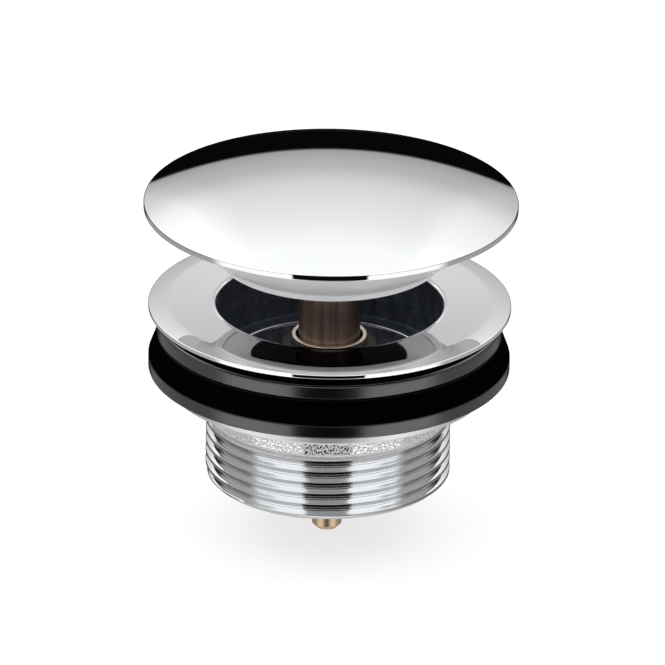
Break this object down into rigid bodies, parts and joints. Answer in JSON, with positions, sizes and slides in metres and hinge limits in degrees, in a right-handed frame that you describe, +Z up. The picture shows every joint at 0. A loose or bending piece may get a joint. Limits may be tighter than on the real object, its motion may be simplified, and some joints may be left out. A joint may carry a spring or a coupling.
{
  "type": "pushbutton bath waste",
  "caption": "Pushbutton bath waste: flanged threaded body with rubber washers, domed mushroom plug and a press-to-open sliding cartridge.",
  "frame": {"origin": "on the axis, at the flange's underside, which the bath's outlet holds through the upper gasket", "axes": "+Z up along the axis, out of the bath outlet towards the cap"},
  "size_m": [0.073, 0.073, 0.0757],
  "materials": {
    "chrome": "bright chrome plate on brass, mirror polished",
    "chrome_cast": "chrome plate over machined thread and a grainy cast collar",
    "satin_metal": "turned satin, fine circular lines",
    "black_rubber": "smooth moulded rubber with a soft sheen",
    "pale_seal": "pale soft sealing rubber",
    "black_polymer": "moulded, satin",
    "natural_polymer": "moulded acetal, satin",
    "dark_bronze": "dark brown burnished tube with fine draw lines",
    "brass": "turned brass",
    "spring_steel": "drawn stainless wire",
    "fibre": "pressed red fibre"
  },
  "bodies": {
    "waste": {"waste_body": "chrome_cast", "bath_gasket": "black_rubber", "tapered_washer": "black_rubber", "slip_ring": "chrome", "cartridge_barrel": "brass", "anchor_stud": "brass", "hub_washer": "fibre", "fixing_washer": "spring_steel", "lock_nut": "brass", "guide_collar": "brass", "guide_bush": "natural_polymer", "sleeve_ring_seal": "black_rubber", "cam_post": "natural_polymer", "spring_seat": "spring_steel", "return_spring": "spring_steel"},
    "plunger": {"cap_dome": "chrome", "cap_stud": "brass", "plug_body": "satin_metal", "plug_seal": "pale_seal", "seal_retainer": "black_polymer", "plunger_sleeve": "dark_bronze", "rotor_clip": "spring_steel"},
    "rotor": {"index_rotor": "natural_polymer"}
  },
  "joints": [
    {"name": "plunger_slide", "type": "slide", "parent": "waste", "child": "plunger", "axis": [0, 0, -1], "range_m": [0, 0.0105], "stiffness_N_per_m": 400, "springref_m": -0.012, "deforming": ["return_spring"]},
    {"name": "rotor_index", "type": "hinge", "parent": "plunger", "child": "rotor", "pos_m": [0, 0, -0.0123], "axis": [0, 0, 1], "range_deg": [0, 45.5]}
  ],
  "couplings": [
    {"joint": "rotor_index", "follows": "plunger_slide", "rad_per_m": 74.8}
  ]
}
